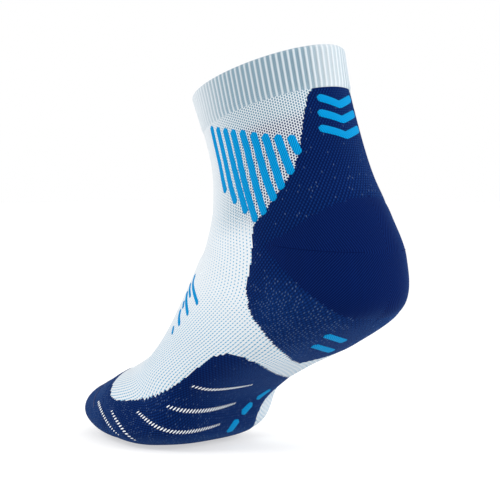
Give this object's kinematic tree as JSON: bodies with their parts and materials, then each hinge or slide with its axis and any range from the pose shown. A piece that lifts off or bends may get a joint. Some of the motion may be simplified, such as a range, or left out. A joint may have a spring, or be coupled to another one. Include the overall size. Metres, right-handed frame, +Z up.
{
  "type": "running sock",
  "caption": "Short-cut compression running sock shaped by a foot pushing off from the ball: ribbed cuff, padded back of the leg, deep heel pouch, flex bands and toe cap.",
  "frame": {"origin": "on the ground under the ball joint, where the wearer's foot stands in the sock", "axes": "+Z up, toes towards -X, heel towards +X, outer side of the left foot towards -Y"},
  "size_m": [0.2377, 0.0989, 0.2162],
  "materials": {
    "rib_knit": "elastic rib knit, pale ice blue",
    "elastic_yarn": "covered elastic yarn",
    "pale_knit": "fine open mesh knit, ice blue with blue specks",
    "navy_knit": "dense plated knit, navy",
    "bright_knit": "raised inlaid knit, bright blue",
    "white_yarn": "inlaid white yarn",
    "terry": "terry loops"
  },
  "bodies": {
    "forefoot": {"forefoot_pad": "navy_knit", "tongue_panel": "pale_knit", "forefoot_cushion": "terry", "toe_cap": "navy_knit", "toe_seam": "navy_knit", "ball_flex_top": "pale_knit", "ball_flex_sole": "navy_knit", "white_arc_2": "white_yarn", "white_arc_3": "white_yarn", "white_arc_4": "white_yarn", "white_arc_5": "white_yarn"},
    "rearfoot": {"midfoot_panel": "pale_knit", "heel_pouch": "navy_knit", "heel_cushion": "terry", "outer_wing": "navy_knit", "inner_wing": "navy_knit", "outer_gore_seam": "navy_knit", "inner_gore_seam": "navy_knit", "ankle_flex_front": "pale_knit", "ankle_flex_back": "navy_knit", "outer_instep_rib_1": "bright_knit", "outer_instep_rib_2": "bright_knit", "outer_instep_rib_3": "bright_knit", "outer_instep_rib_4": "bright_knit", "inner_instep_rib_1": "bright_knit", "inner_instep_rib_2": "bright_knit", "inner_instep_rib_3": "bright_knit", "inner_instep_rib_4": "bright_knit", "white_arc_1": "white_yarn", "side_bar_1": "bright_knit", "side_bar_2": "bright_knit", "side_bar_3": "bright_knit", "size_bar_1": "bright_knit", "size_bar_2": "bright_knit"},
    "leg": {"cuff_welt": "rib_knit", "cuff_elastic": "elastic_yarn", "leg_panel": "pale_knit", "achilles_panel": "navy_knit", "achilles_cushion": "terry", "outer_rib_1": "bright_knit", "outer_rib_2": "bright_knit", "outer_rib_3": "bright_knit", "outer_rib_4": "bright_knit", "outer_rib_5": "bright_knit", "outer_rib_6": "bright_knit", "outer_rib_7": "bright_knit", "outer_rib_8": "bright_knit", "outer_rib_9": "bright_knit", "inner_rib_1": "bright_knit", "inner_rib_2": "bright_knit", "inner_rib_3": "bright_knit", "inner_rib_4": "bright_knit", "inner_rib_5": "bright_knit", "inner_rib_6": "bright_knit", "inner_rib_7": "bright_knit", "inner_rib_8": "bright_knit", "inner_rib_9": "bright_knit", "back_chevron_1": "bright_knit", "back_chevron_2": "bright_knit", "back_chevron_3": "bright_knit"}
  },
  "joints": [
    {"name": "toe_flex", "type": "hinge", "parent": "forefoot", "child": "rearfoot", "pos_m": [0, 0, 0.014], "axis": [0, 1, 0], "range_deg": [-12, 27], "stiffness_Nm_per_rad": 4, "deforming": ["ball_flex_top", "ball_flex_sole", "white_arc_2", "white_arc_3"]},
    {"name": "ankle_flex", "type": "hinge", "parent": "rearfoot", "child": "leg", "pos_m": [0.08947, 0, 0.12917], "axis": [0, 1, 0], "range_deg": [-15, 22], "stiffness_Nm_per_rad": 1, "deforming": ["ankle_flex_front", "ankle_flex_back"]}
  ]
}
